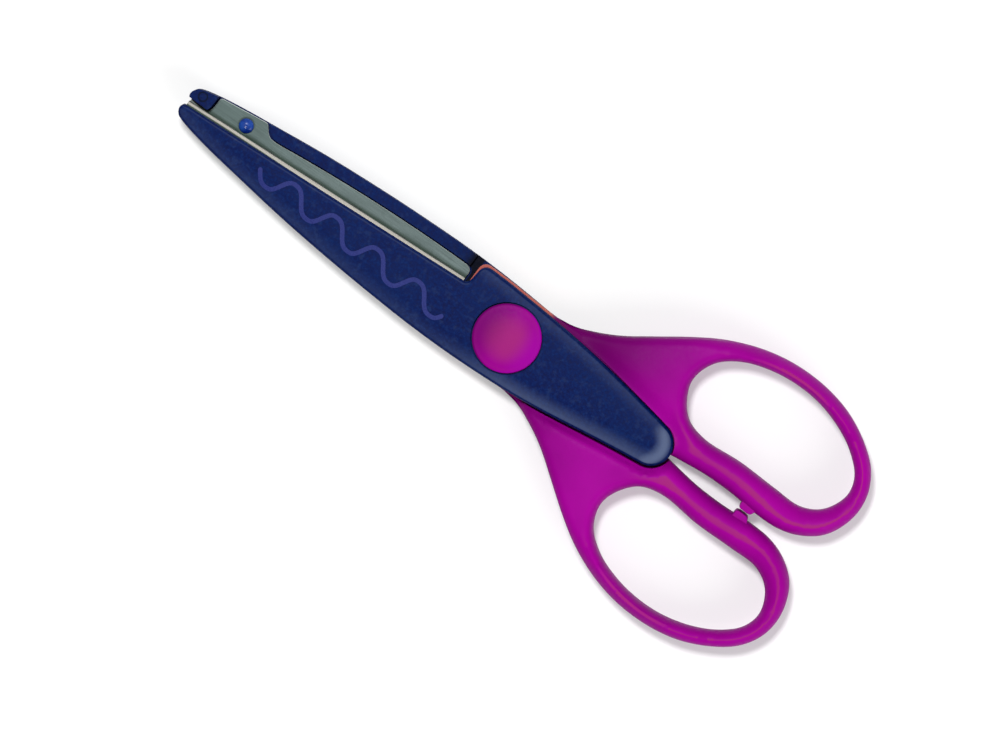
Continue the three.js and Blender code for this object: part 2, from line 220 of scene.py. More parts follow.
def housing_outline():
    """Plan of the whole leaf, from the cut round its tip, its back and its tail to the hub."""
    root, tip = (14.6, cut_line(14.6)), (83.2, cut_line(83.2))
    return joined(
        line(root, tip),
        smooth([tip] + HOUSING_TIP + HOUSING_EDGE + TAIL_EDGE, step=0.5),
        nose(0),
        tail_back(0, 10),
        line((6, -9.65), (11, -9.7)),
        corner((11, -9.7), (12.9, -9.6), (13.1, -7.8)),
        line((13.1, -7.8), (13.3, -5.9)),
        corner((13.3, -5.9), (13.4, cut_line(13.4)), root),
    )


def tail_room(grow):
    """Plan of the housing's hub and tail, larger all round by grow, as far as x = 20."""
    wide = TAIL_EDGE[0][1] + grow
    return joined(
        line((20, -wide), (20, wide), (8, wide), step=3),
        tail_edge(grow),
        nose(grow),
        tail_back(grow, 10),
        line((8, -wide), (20, -wide), step=3),
    )


def plate_outline(grow):
    """Plan of the blade's plate beyond its bend, with the step down from its wide end, larger by grow."""
    g = grow
    end = (79 + g, flange_line(79) + BEND_RADIUS)
    return joined(
        line((BLADE_ROOT_X - g, flange_line(BLADE_ROOT_X) + BEND_RADIUS), end),
        corner(end, (78.5 + g, 1.1), (78.4 + g, 2.0)),
        line((78.4 + g, 2.0), (78.3 + g, 4.0 + g)),
        corner((78.3 + g, 4.0 + g), (78.2 + g, 4.5 + g), (77.6 + g, 4.55 + g)),
        line((77.6 + g, 4.55 + g), (67.7, 5.95 + g)),
        corner((67.7, 5.95 + g), (67.1, 6.0 + g), (66.7 - g, 5.4 + g)),
        smooth([(66.7 - g, 5.4 + g), (65.9 - g, 4.45 + g), (64.9 - g, 3.8 + g)]
               + [(x, y + g) for x, y in PLATE_EDGE], step=0.5),
        corner((16.4, 7 + g), (BLADE_ROOT_X - g, 7 + g), (BLADE_ROOT_X - g, 5.6)),
    )


def hub_outline():
    """Plan of the handle's flat hub plate, which stays a little inside the housing on the blade's side."""
    shy = -0.3
    back = tail_back(shy, -12)
    return joined(
        line((HUB_END, -8.2), (HUB_END, 7.4)),
        corner((HUB_END, 7.4), (HUB_END, 9.4), (11.5, 9.45)),
        line((11.5, 9.45), (8, 9.4)),
        tail_edge(shy),
        nose(shy),
        back,
        line(back[-1], (-12, -9.6)),
        smooth([(-12, -9.6), (-6, -9.55), (0, -9.7), (6, -9.95), (11.4, -10)]),
        corner((11.4, -10), (13.3, -9.95), (HUB_END, -8.2)),
    )


# ------------------------------------------------------------------ solids

def new_object(name, vertices, faces):
    """A mesh object in the scene."""
    mesh = bpy.data.meshes.new(name)
    mesh.from_pydata([tuple(map(float, v)) for v in vertices], [], faces)
    mesh.validate()
    obj = bpy.data.objects.new(name, mesh)
    bpy.context.scene.collection.objects.link(obj)
    return obj


def prism(outline, low, high):
    """The solid over a plan outline between two heights."""
    n = len(outline)
    vertices = [(x, y, low) for x, y in outline] + [(x, y, high) for x, y in outline]
    sides = [(i, (i + 1) % n, n + (i + 1) % n, n + i) for i in range(n)]
    obj = new_object("tool", vertices, [tuple(range(n))[::-1], tuple(range(n, 2 * n))] + sides)
    tidy(obj)
    return obj


def block(x0, x1, y0, y1, low, high):
    """A rectangular solid."""
    return prism(np.array([(x0, y0), (x1, y0), (x1, y1), (x0, y1)], float), low, high)


def rod(x, y, radius, low, high, steps=64):
    """An upright cylinder."""
    turn = np.arange(steps) * 2 * math.pi / steps
    return prism(np.column_stack((x + radius * np.cos(turn), y + radius * np.sin(turn))), low, high)


def tidy(obj):
    """Faces out, and no doubled points."""
    bm = bmesh.new()
    bm.from_mesh(obj.data)
    bmesh.ops.remove_doubles(bm, verts=bm.verts, dist=1e-4)
    bmesh.ops.recalc_face_normals(bm, faces=bm.faces)
    bm.to_mesh(obj.data)
    bm.free()


def turned(name, profile, steps, x=0, y=0):
    """A solid of revolution about an upright axis, from its (radius, z) profile, which starts and ends on the
    axis."""
    rings, vertices = [], []
    for radius, z in profile:
        if radius == 0:
            rings.append([len(vertices)] * steps)
            vertices.append((x, y, z))
            continue
        rings.append(list(range(len(vertices), len(vertices) + steps)))
        for i in range(steps):
            turn = 2 * math.pi * i / steps
            vertices.append((x + radius * math.cos(turn), y + radius * math.sin(turn), z))
    faces = []
    for a, b in zip(rings, rings[1:]):
        for i in range(steps):
            j = (i + 1) % steps
            loop = [a[i], a[j], b[j], b[i]]
            face = [v for k, v in enumerate(loop) if v != loop[k - 1]]
            if len(face) > 2:
                faces.append(tuple(face))
    obj = new_object(name, vertices, faces)
    tidy(obj)
    return obj


def distance(points, loop, closed=True):
    """Distance from each point to the nearest stretch of an outline."""
    batch = 2000
    a = loop if closed else loop[:-1]
    b = np.roll(loop, -1, axis=0) if closed else loop[1:]
    ab = b - a
    out = np.full(len(points), 1e9)
    for start in range(0, len(points), batch):
        p = points[start:start + batch, None, :]
        t = np.clip(((p - a) * ab).sum(2) / (ab ** 2).sum(1), 0, 1)
        gap = p - (a + t[..., None] * ab)
        out[start:start + batch] = np.sqrt((gap ** 2).sum(2)).min(1)
    return out


def inside(points, loops):
    """Whether each point is inside the region between the outlines (even-odd rule)."""
    odd = np.zeros(len(points), bool)
    for loop in loops:
        for (x0, y0), (x1, y1) in zip(loop, np.roll(loop, -1, axis=0)):
            if y0 == y1:
                continue
            crosses = (y0 > points[:, 1]) != (y1 > points[:, 1])
            at = x0 + (points[:, 1] - y0) * (x1 - x0) / (y1 - y0)
            odd ^= crosses & (points[:, 0] < at)
    return odd


def round_rings(across, count=6):
    """Distances from an edge that step evenly round its rounding."""
    turn = np.radians(90 * np.arange(1, count + 1) / count)
    return across * (1 - np.cos(turn))


def nearest(points, loops):
    """Distance from each point to the nearest of the outlines."""
    return np.min([distance(points, loop) for loop in loops], axis=0)


def oriented(loops):
    """The first outline anticlockwise and the holes clockwise, so that the solid is always on the left."""
    out = []
    for k, loop in enumerate(loops):
        x, y = loop[:, 0], loop[:, 1]
        area = (x * np.roll(y, -1) - np.roll(x, -1) * y).sum()
        out.append(loop if (area > 0) == (k == 0) else loop[::-1])
    return out


def triangular_grid(outline, step):
    """Points of a grid of equal triangles over the outline's box."""
    low, high, triangle_height = outline.min(0), outline.max(0), step * 0.866
    out = []
    for j, y in enumerate(np.arange(low[1], high[1], triangle_height)):
        xs = np.arange(low[0], high[0], step) + (step / 2 if j % 2 else 0)
        out.append(np.column_stack((xs, np.full(len(xs), y))))
    return np.vstack(out)


def plan_points(loops, rings, coarse, rows):
    """The outlines' own points, rows of points beside them, the further rows, and a grid over the rest."""
    on_ring, row_clear, grid_clear, grid_from_row = 0.97, 0.2, 0.55 * coarse, 0.4 * coarse
    points = list(loops)
    for loop in loops:
        along = np.roll(loop, -1, axis=0) - np.roll(loop, 1, axis=0)
        inward = np.column_stack((-along[:, 1], along[:, 0])) / np.linalg.norm(along, axis=1)[:, None]
        for ring in rings:
            row = loop + inward * ring
            points.append(row[(nearest(row, loops) > on_ring * ring) & inside(row, loops)])
    for row in rows:
        row = row[inside(row, loops)]
        points.append(row[nearest(row, loops) > max(rings) + row_clear])
    grid = triangular_grid(loops[0], coarse)
    grid = grid[inside(grid, loops)]
    grid = grid[nearest(grid, loops) > max(rings) + grid_clear]
    if rows:
        grid = grid[nearest(grid, rows) > grid_from_row]
    return points + [grid]


def triangulated(points, loops):
    """Vertices and anticlockwise triangles over the region between the outlines, whose points come first."""
    edges, start = [], 0
    for loop in loops:
        n = len(loop)
        edges += [(start + i, start + (i + 1) % n) for i in range(n)]
        start += n
    flat = [Vector(map(float, p)) for p in np.vstack(points)]
    verts, _, faces, _, _, _ = delaunay_2d_cdt(flat, edges, [], 0, 1e-4)
    verts = np.array([tuple(v) for v in verts])
    faces = np.array([tuple(f) for f in faces])
    faces = faces[inside(verts[faces].mean(1), loops)]
    used = np.unique(faces)
    renumber = np.full(len(verts), -1)
    renumber[used] = np.arange(len(used))
    verts, faces = verts[used], renumber[faces]
    area = np.cross(verts[faces[:, 1]] - verts[faces[:, 0]], verts[faces[:, 2]] - verts[faces[:, 0]])
    faces[area < 0] = faces[area < 0][:, ::-1]
    return verts, faces


def shaped(name, outer, holes, top, under, rings, coarse, rows=()):
    """A closed solid over a plan outline, between the heights top(points) and under(points). rings are the
    distances from the edges at which it gets rows of points, so that rounded edges come out smooth, rows are
    more rows of points, where its faces bend inside the outline, and coarse is the grid's step elsewhere."""
    loops = oriented([outer] + list(holes))
    verts, faces = triangulated(plan_points(loops, rings, coarse, rows), loops)
    n = len(verts)
    edges = {edge for a, b, c in faces for edge in ((a, b), (b, c), (c, a))}
    rim = [(a, b) for a, b, c in faces for a, b in ((a, b), (b, c), (c, a)) if (b, a) not in edges]
    solid = np.vstack((
        np.column_stack((verts, top(verts))),
        np.column_stack((verts, under(verts))),
    ))
    all_faces = [tuple(map(int, f)) for f in faces]
    all_faces += [tuple(int(v) + n for v in f[::-1]) for f in faces]
    all_faces += [(int(b), int(a), int(a) + n, int(b) + n) for a, b in rim]
    return new_object(name, solid, all_faces)


def rounding(d, across, along):
    """How far a rounded edge has dropped at distance d from the outline."""
    t = np.clip(1 - d / across, 0, 1)
    return along * (1 - np.sqrt(1 - t ** 2))


def ease(x, low, high):
    """0 at low, 1 at high, and smooth between."""
    t = np.clip((x - low) / (high - low), 0, 1)
    return t * t * (3 - 2 * t)


def applied(obj):
    """Bakes an object's modifiers into its mesh."""
    evaluated = obj.evaluated_get(bpy.context.evaluated_depsgraph_get())
    mesh = bpy.data.meshes.new_from_object(evaluated)
    obj.modifiers.clear()
    obj.data = mesh
    return obj


def combine(obj, operation, *tools):
    """Adds (UNION) or removes (DIFFERENCE) tools, which are used up."""
    for tool in tools:
        modifier = obj.modifiers.new("combine", "BOOLEAN")
        modifier.object = tool
        modifier.operation = operation
        modifier.solver = "MANIFOLD"
        applied(obj)
        bpy.data.objects.remove(tool)
    return obj


def softened(obj, width, angle=40, segments=2):
    """A small round on every edge sharper than angle."""
    modifier = obj.modifiers.new("soften", "BEVEL")
    modifier.width = width
    modifier.segments = segments
    modifier.limit_method = "ANGLE"
    modifier.angle_limit = math.radians(angle)
    modifier.use_clamp_overlap = True
    return applied(obj)


def finished(obj, side, body, slot, material, *nodes, angle=35):
    """Puts a piece that was drawn in the half frame in its place, shades it, and rides it on its body."""
    turn = Matrix.Identity(4) if side == "front" else Matrix.Rotation(math.pi, 4, "X")
    obj.data.transform(Matrix.Scale(MM, 4) @ Matrix.Translation((0, 0, SHEAR_Z)) @ turn)
    for polygon in obj.data.polygons:
        polygon.use_smooth = True
    obj.data.set_sharp_from_angle(angle=math.radians(angle))
    weighted = obj.modifiers.new("weighted", "WEIGHTED_NORMAL")
    weighted.keep_sharp = True
    applied(obj)
    obj.data.materials.clear()
    obj.data.materials.append(material)
    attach(obj, body)
    if nodes:
        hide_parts(*nodes)


# ------------------------------------------------------------------ finishes

def linear(r, g, b):
    """A colour given as 0-255 display values, as linear light."""
    shades = (v / 255 for v in (r, g, b))
    return tuple(((v + 0.055) / 1.055) ** 2.4 if v > 0.04 else v / 12.92 for v in shades) + (1,)


class Finish:
    """A material's node tree, with short calls for the nodes it needs."""

    def __init__(self, name, **sockets):
        self.material = bpy.data.materials.new(name)
        self.material.use_nodes = True
        self.tree = self.material.node_tree
        self.shader = self.tree.nodes["Principled BSDF"]
        for socket, value in sockets.items():
            self.shader.inputs[socket.replace("_", " ")].default_value = value
        self.place = self.tree.nodes.new("ShaderNodeTexCoord").outputs["Object"]

    def node(self, kind, inputs=None, **settings):
        """A node with its inputs linked or set."""
        node = self.tree.nodes.new(kind)
        for name, value in settings.items():
            setattr(node, name, value)
        for name, value in (inputs or {}).items():
            if isinstance(value, bpy.types.NodeSocket):
                self.tree.links.new(value, node.inputs[name])
            else:
                node.inputs[name].default_value = value
        return node

    def noise(self, size_mm, detail, stretch=(1, 1, 1), roughness=0.5):
        """Noise whose features are about size_mm across."""
        scaled = self.node("ShaderNodeMapping", {"Vector": self.place, "Scale": stretch}).outputs[0]
        scale = 0.5 / (size_mm * MM)
        inputs = {"Vector": scaled, "Scale": scale, "Detail": detail, "Roughness": roughness}
        return self.node("ShaderNodeTexNoise", inputs).outputs["Fac"]

    def ramp(self, value, *stops):
        """A value or colour that changes with value: stops are (position, number or colour)."""
        node = self.node("ShaderNodeValToRGB", {"Fac": value})
        while len(node.color_ramp.elements) < len(stops):
            node.color_ramp.elements.new(0.5)
        for element, (position, colour) in zip(node.color_ramp.elements, stops):
            element.position = position
            element.color = colour if isinstance(colour, tuple) else (colour, colour, colour, 1)
        return node.outputs["Color"]

    def math(self, operation, a, b=0.0):
        return self.node("ShaderNodeMath", {0: a, 1: b}, operation=operation).outputs[0]

    def plus(self, a, b):
        return self.math("ADD", a, b)

    def minus(self, a, b):
        return self.math("SUBTRACT", a, b)

    def most(self, a, b):
        return self.math("MAXIMUM", a, b)

    def size(self, a):
        """The value without its sign."""
        return self.math("ABSOLUTE", a)

    def times(self, first, *others):
        for other in others:
            first = self.math("MULTIPLY", first, other)
        return first

    def between(self, value, low, high):
        """0 at low and beyond it, 1 at high and beyond it, smooth between. Low may be the larger number."""
        inputs = {"Value": value, "From Min": low, "From Max": high}
        return self.node("ShaderNodeMapRange", inputs, interpolation_type="SMOOTHSTEP").outputs[0]

    def zone(self, length, low_mm, high_mm):
        """As between, for a length or a coordinate in metres and limits in millimetres."""
        return self.between(length, low_mm * MM, high_mm * MM)

    def mix(self, factor, a, b):
        """Colour a, with colour b over it as far as factor says."""
        node = self.node("ShaderNodeMix", {"Factor": factor}, data_type="RGBA")
        for socket, value in ((node.inputs[6], a), (node.inputs[7], b)):
            if isinstance(value, bpy.types.NodeSocket):
                self.tree.links.new(value, socket)
            else:
                socket.default_value = value
        return node.outputs[2]

    def part(self, axis):
        """One coordinate of the surface in the part's frame, in metres."""
        return self.node("ShaderNodeSeparateXYZ", {"Vector": self.place}).outputs[axis]

    def facing(self, axis):
        """One component of the surface's normal in the part's frame."""
        normal = self.tree.nodes["Texture Coordinate"].outputs["Normal"]
        return self.node("ShaderNodeSeparateXYZ", {"Vector": normal}).outputs[axis]

    def away(self, x_mm, y_mm):
        """Distance in plan, in metres, from a point of the part or from the same point across the X axis."""
        x, y = self.minus(self.part("X"), x_mm * MM), self.minus(self.size(self.part("Y")), y_mm * MM)
        return self.math("SQRT", self.plus(self.times(x, x), self.times(y, y)))

    def bump(self, height, distance_mm, strength, under=None):
        """A normal that follows a fine height, on top of the normal under it."""
        inputs = {"Height": height, "Distance": distance_mm * MM, "Strength": strength}
        if under is not None:
            inputs["Normal"] = under
        return self.node("ShaderNodeBump", inputs).outputs[0]

    def use(self, **sockets):
        """Links the shader's sockets and gives the material."""
        for name, output in sockets.items():
            self.tree.links.new(output, self.shader.inputs[name.replace("_", " ")])
        return self.material


def housing_finish():
    """Navy moulded plastic with a fine sparkling grain, a painted highlight where its face starts to fall
    away, and painted shade in the recess beside the hub and round the mark on the tip guard."""
    f = Finish("housing_blue", Specular_IOR_Level=0.06)
    grain = f.noise(0.3, detail=3, roughness=0.65)
    fleck = f.noise(0.7, detail=3, roughness=0.6)
    cloud = f.noise(6, detail=3)
    colour = f.ramp(grain, (0.30, linear(0, 10, 56)), (0.5, linear(0, 18, 70)), (0.74, linear(6, 34, 86)))
    colour = f.mix(f.times(f.between(fleck, 0.5, 0.72), 0.35), colour, linear(32, 50, 90))
    colour = f.mix(f.ramp(cloud, (0.4, 0.0), (0.7, 0.3)), colour, linear(4, 28, 76))

    x, depth = f.part("X"), f.size(f.minus(f.part("Z"), SHEAR_Z * MM))
    # Painted highlight: the upward face is paler where its crown falls away towards either side and round the
    # nose.
    more_on_tail = f.plus(f.times(f.zone(x, 15, -10), 0.35), 0.15)
    blade_side = f.times(f.between(f.facing("Y"), 0.06, 0.3), more_on_tail)
    other_side = f.times(f.between(f.facing("Y"), -0.1, -0.3), 0.2)
    from_nose = f.away(-36.2, 0)
    crescent = f.times(f.zone(from_nose, 1.4, 4.0), f.zone(from_nose, 5.8, 4.2), f.zone(x, -35.0, -38.8))
    on_top = f.between(f.size(f.facing("Z")), 0.8, 0.9)
    face_highlight = f.times(f.most(f.most(blade_side, other_side), crescent), on_top)
    colour = f.mix(f.times(face_highlight, 0.8), colour, linear(84, 96, 124))

    # Painted shade: near black in the deep recess beside the hub.
    recess = f.times(f.zone(x, 17.5, 15.2), f.zone(x, 13.0, 13.6), f.zone(depth, 3.1, 2.7))
    colour = f.mix(f.times(recess, 0.92), colour, linear(0, 1, 8))

    # Painted shade: a dark line round the edge of the mark's groove.
    from_ring = f.size(f.minus(f.away(GUARD_MARK_X, GUARD_MARK_Y), (GUARD_MARK_RADIUS - 0.1) * MM))
    ring = f.times(f.zone(from_ring, 0.24, 0.1), f.zone(depth, 3.4, 3.0))
    colour = f.mix(f.times(ring, 0.8), colour, linear(0, 8, 30))

    rough = f.ramp(grain, (0.3, 0.5), (0.7, 0.65))
    normal = f.bump(fleck, 0.06, 0.4, under=f.bump(grain, 0.05, 0.8))
    return f.use(Base_Color=colour, Roughness=rough, Normal=normal)


def handle_finish():
    """Magenta moulded plastic, with a painted plum sheen on its upward flat faces, painted shade beside the
    housing and on the hub's slopes that face the blade, painted light on those that face the loop, and a
    salmon edge round the hub. The caps have it too."""
    f = Finish("handle_magenta", Specular_IOR_Level=0.03)
    cloud = f.noise(6, detail=3)
    fine = f.noise(0.35, detail=3, roughness=0.6)
    colour = f.ramp(cloud, (0.35, linear(138, 1, 126)), (0.65, linear(147, 2, 134)))

    x, from_middle, upright = f.part("X"), f.size(f.part("Y")), f.size(f.facing("Z"))
    hub_and_caps = f.zone(x, -9.0, -8.5)
    colour = f.mix(f.times(hub_and_caps, 0.5), colour, linear(126, 0, 114))
    # Painted sheen: the upward flat faces of the loops and caps turn plum, mottled by the cloud.
    loop_sheen = f.times(f.zone(x, -36, -46), f.zone(from_middle, 1.4, 2.2), f.between(upright, 0.96, 0.999))
    cap_sheen = f.times(hub_and_caps, f.between(upright, 0.987, 0.9995))
    flat = f.times(f.most(loop_sheen, cap_sheen), f.ramp(cloud, (0.3, 0.6), (0.6, 0.9)))
    colour = f.mix(flat, colour, linear(144, 34, 104))

    # Painted shade: the webs darken towards the hub and beside the front housing's tail, outside the caps.
    hub_shade = f.times(f.zone(x, -30, -10), 0.45)
    front_web_shade = f.times(f.zone(f.part("Y"), 0, -2), f.zone(x, -40, -14), 0.8)
    outside_caps = f.most(f.zone(from_middle, 8.3, 8.7), f.zone(x, -8, -9))
    colour = f.mix(f.times(f.most(hub_shade, front_web_shade), outside_caps), colour, linear(72, 0, 64))

    # Painted light and shade on the hub and caps: slopes that face the blade are darker, slopes that face the
    # loop are brighter.
    blade_facing_shade = f.times(f.between(f.facing("X"), -0.02, 0.16), hub_and_caps, 0.6)
    colour = f.mix(blade_facing_shade, colour, linear(84, 0, 76))
    loop_facing_light = f.times(f.between(f.facing("X"), -0.04, -0.16), hub_and_caps, 0.7)
    colour = f.mix(loop_facing_light, colour, linear(142, 2, 142))

    hub_edge = f.most(f.zone(from_middle, 8.5, 8.8), f.zone(x, 11.2, 11.8))
    colour = f.mix(f.times(f.zone(x, -6, -4), hub_edge), colour, linear(170, 90, 80))

    rough = f.ramp(fine, (0.3, 0.42), (0.7, 0.54))
    return f.use(Base_Color=colour, Roughness=rough, Normal=f.bump(fine, 0.02, 0.6))


def steel_finish(side):
    """Stamped steel, brushed along the blade, darker to the tip, with painted highlights on its edges and
    walls and on its bend, and painted shade beside the bend and in the corners beside the other blade's
    flange."""
    f = Finish(f"blade_steel_{side}")
    brushed = f.noise(0.12, detail=4, stretch=(0.03, 1, 1), roughness=0.7)
    stain = f.noise(3.5, detail=5)
    speck = f.noise(0.5, detail=3)
    colour = f.ramp(stain, (0.3, linear(82, 93, 92)), (0.7, linear(92, 104, 103)))
    colour = f.mix(f.times(f.between(speck, 0.55, 0.7), 0.25), colour, linear(72, 84, 80))

    x, y, z = f.part("X"), f.part("Y"), f.minus(f.part("Z"), SHEAR_Z * MM)
    if side == "rear":
        y, z = f.times(y, -1.0), f.times(z, -1.0)
    near_tip = f.zone(x, 45, 75)
    colour = f.mix(f.times(near_tip, 0.45), colour, linear(66, 80, 77))
    # Painted highlight: pale on every face that does not face up; below, these faces are also made less
    # metallic.
    edge_highlight = f.between(f.size(f.facing("Z")), 0.98, 0.8)
    colour = f.mix(edge_highlight, colour, linear(186, 194, 190))

    line_y = f.minus(f.times(x, FLANGE_SLOPE), FLANGE_OFFSET * MM)
    from_flange, from_other_flange = f.minus(y, line_y), f.plus(y, line_y)
    narrowed = f.plus(from_flange, f.times(near_tip, 0.22 * MM))
    at_bend = f.zone(z, 2.2, 2.6)
    # Painted highlight: the bend is pale and less metallic.
    bend_highlight = f.times(f.zone(narrowed, 0.85, 0.6), at_bend)
    # Painted shade: a dark seam beyond the bend, the flange's wall below the bend, and a band of the plate
    # beside the other blade's flange.
    seam_shade = f.times(f.zone(narrowed, 0.7, 0.9), f.zone(z, 2.7, 3.0), 0.85)
    wall_shade = f.times(f.zone(from_flange, 0.5, 0.3), f.minus(1.0, at_bend), 0.85)
    plate_shade = f.times(f.zone(from_other_flange, 0.9, -0.1), f.zone(from_other_flange, -3.2, -1.2), 0.8)
    colour = f.mix(f.most(plate_shade, f.most(wall_shade, seam_shade)), colour, linear(34, 46, 36))
    colour = f.mix(bend_highlight, colour, linear(182, 178, 168))

    metal = f.minus(1.0, f.times(f.most(bend_highlight, edge_highlight), 0.75))
    rough = f.ramp(brushed, (0.25, 0.5), (0.75, 0.66))
    return f.use(Base_Color=colour, Metallic=metal, Roughness=rough, Normal=f.bump(brushed, 0.008, 0.5))


def rivet_finish():
    """Glossy blue plastic."""
    f = Finish("rivet_blue", Specular_IOR_Level=0.3)
    cloud = f.noise(0.8, detail=3)
    colour = f.ramp(cloud, (0.35, linear(4, 28, 104)), (0.65, linear(26, 66, 148)))
    rough = f.ramp(cloud, (0.3, 0.16), (0.7, 0.3))
    return f.use(Base_Color=colour, Roughness=rough, Normal=f.bump(cloud, 0.02, 0.3))


def pivot_finish():
    """Bright plated turned steel."""
    f = Finish("pivot_steel", Metallic=1.0)
    turned_marks = f.noise(0.2, detail=3, stretch=(1, 1, 6))
    colour = f.ramp(turned_marks, (0.3, linear(176, 178, 182)), (0.7, linear(200, 202, 206)))
    return f.use(Base_Color=colour, Roughness=f.ramp(turned_marks, (0.3, 0.2), (0.7, 0.36)))


def nylon_finish():
    """Natural nylon."""
    f = Finish("thrust_nylon", Subsurface_Weight=0.1)
    cloud = f.noise(1.2, detail=2)
    colour = f.ramp(cloud, (0.3, linear(224, 220, 208)), (0.7, linear(236, 233, 224)))
    return f.use(Base_Color=colour, Roughness=f.ramp(cloud, (0.3, 0.4), (0.7, 0.55)))


def print_finish():
    """Violet printing ink, with the housing's grain showing through."""
    f = Finish("print_violet", Specular_IOR_Level=0.1)
    grain = f.noise(0.16, detail=3, roughness=0.7)
    colour = f.ramp(grain, (0.3, linear(26, 34, 94)), (0.7, linear(42, 50, 112)))
    rough = f.ramp(grain, (0.3, 0.5), (0.7, 0.65))
    return f.use(Base_Color=colour, Roughness=rough, Normal=f.bump(grain, 0.02, 0.5))


HOUSING = housing_finish()
HANDLE = handle_finish()
BLADES = {side: steel_finish(side) for side in ("front", "rear")}
RIVET = rivet_finish()
PIVOT = pivot_finish()
NYLON = nylon_finish()
PRINT = print_finish()

# ------------------------------------------------------------------ the pieces of one half


def leaf_top(p, outline):
    """Height of the housing's face. It is crowned towards every edge but the cut, and rounds over at all of
    them."""
    crown, crown_width = 0.85, 5
    back, hub_side = smooth(HOUSING_EDGE + TAIL_EDGE, step=1.5), line((6, -9.65), (11, -9.7))
    crowned_edge = joined(back, nose(0), tail_back(0, 10), hub_side)
    near_edge = np.clip(1 - distance(p, crowned_edge, closed=False) / crown_width, 0, 1)
    return HOUSING_OUT - crown * near_edge ** 2 - rounding(distance(p, outline), LEAF_ROUND, LEAF_ROUND)


def make_housing(name):
    """The leaf-shaped cover: a crowned face, a rim round the blade's bay, and the tip guard."""
    outline = housing_outline()

    def top(p):
        return leaf_top(p, outline)

    def under(p):
        return np.full(len(p), TIP_GUARD_IN)

    crown_rings = [1.5, 2.4, 3.4, 4.4]
    obj = shaped(name, outline, [], top, under, [*round_rings(LEAF_ROUND), *crown_rings], coarse=1.6)
    past_tip, past_cut, root = 90, -20, BAY_START - 0.4
    cut_side = np.array([
        (root, past_cut), (past_tip, past_cut), (past_tip, TIP_GUARD_Y), (GUARD_START + 0.2, TIP_GUARD_Y),
        (60, 1.6), (root, 4),
    ], float)
    room_for_handle = block(-FAR, BAY_START + 0.1, -FAR, FAR, -FAR, HOUSING_OVER_HANDLE)
    below_rim = block(BAY_START, GUARD_START + 0.35, -FAR, FAR, -FAR, RIM_IN)
    recess_by_hub = block(BAY_START, BAY_START + 1.5, -FAR, FAR, -FAR, RIM_IN + 1.5)
    room_for_flange_end = block(
        GUARD_START, past_tip, past_cut, TIP_GUARD_Y + 0.7, PLATE_IN - 0.4, HOUSING_OVER_BLADE,
    )
    guard_mark = rod(GUARD_MARK_X, GUARD_MARK_Y, GUARD_MARK_RADIUS, TIP_GUARD_IN - 1, TIP_GUARD_IN + 0.3, 48)
    return combine(
        obj, "DIFFERENCE",
        room_for_handle,
        below_rim,
        recess_by_hub,
        prism(plate_outline(0.4), -FAR, HOUSING_OVER_BLADE),
        prism(cut_side, -FAR, HOUSING_OVER_BLADE),
        room_for_flange_end,
        rod(0, 0, CAP_SKIRT_RADIUS + CAP_GAP, -FAR, FAR, 96),
        rod(0, 0, CAP_RADIUS + CAP_GAP, CAP_UNDER - 0.05, FAR, 96),
        guard_mark,
    )


def make_handle(name):
    """The hub plate, the web and the finger loop, with softly crowned faces that fall into the hole."""
    outside = smooth(mirrored(LOOP_OUTSIDE), step=0.9)
    hole = smooth(mirrored(LOOP_HOLE), closed=True, step=0.8)
    outline = joined(outside, line((-42.6, -0.5), (-36, -0.5), (-6, -6), (-6, -9.6), step=1.2))
    own_tail, other_tail = tail_room(0.3), tail_room(0.5)[::-1] * (1, -1)  # the other half's leans this way
    web_top, web_under = np.array(WEB_TOP), np.array(WEB_UNDER)

    def edges(p, thick):
        """How far both faces have come in from full thickness."""
        d_out, d_hole = distance(p, outside, closed=False), distance(p, hole)
        far_end = ease(-p[:, 0], 58, 72)
        straight = ease(-p[:, 1], 15, 10) * ease(-p[:, 0], 40, 50)
        in_web = ease(-p[:, 0], 44, 30)
        out = rounding(d_out, 2.6 - 0.9 * in_web, np.minimum(4.0 - 2.3 * in_web, 0.42 * thick))
        out += 0.5 * np.clip(1 - d_out / (4 + 4 * in_web), 0, 1) ** 2
        scoop = rounding(d_hole, 1.9 + 2.2 * far_end + 0.9 * straight, 3.6 + 0.4 * far_end)
        return out + scoop

    def heights(p):
        """The web's upper and lower face, before the edges round them."""
        hi = np.interp(p[:, 0], web_top[:, 0], web_top[:, 1])
        lo = np.interp(p[:, 0], web_under[:, 0], web_under[:, 1])
        return hi, lo

    def groove(p, tail, deep, wide):
        """A soft valley along a housing's tail."""
        return deep * np.exp(-(distance(p, tail) / wide) ** 2) * ease(-p[:, 0], 8, 20)

    def top(p):
        hi, lo = heights(p)
        return hi - edges(p, hi - lo) - groove(p, own_tail, 0.9, 2.2)

    def under(p):
        hi, lo = heights(p)
        return lo + edges(p, hi - lo) + groove(p, other_tail, 1.7, 0.9)

    beside_tails = (0.52, 0.95, 1.4, 1.9, 2.5, 3.2)
    rows = [tail_room(out) * (1, turn) for out in beside_tails for turn in (1, -1)]
    obj = shaped(name, outline, [hole], top, under, round_rings(3.6, 8), coarse=1.2, rows=rows)
    obj = combine(obj, "DIFFERENCE", prism(own_tail, HANDLE_OUT, FAR), prism(other_tail, -FAR, SHEAR_GAP))
    obj = combine(
        obj, "UNION",
        softened(prism(hub_outline(), SHEAR_GAP, HANDLE_OUT), 0.15),
        softened(prism(np.array(STOP_BUMP), -STOP_HEIGHT, STOP_HEIGHT), 0.25, angle=20),
    )
    return combine(
        obj, "DIFFERENCE",
        rod(0, 0, BORE_RADIUS, -FAR, FAR),
        rod(0, 0, THRUST_RADIUS + 0.3, -FAR, 0.45),
        rod(0, 0, WASHER_RADIUS + 0.3, 1.6, FAR),
    )


def wave(radius):
    """The rims' wave depends on the distance from the pivot alone, so that they slide past each other."""
    return WAVE_HEIGHT * math.cos(2 * math.pi * (radius - BLADE_ROOT_X) / WAVE_LENGTH)


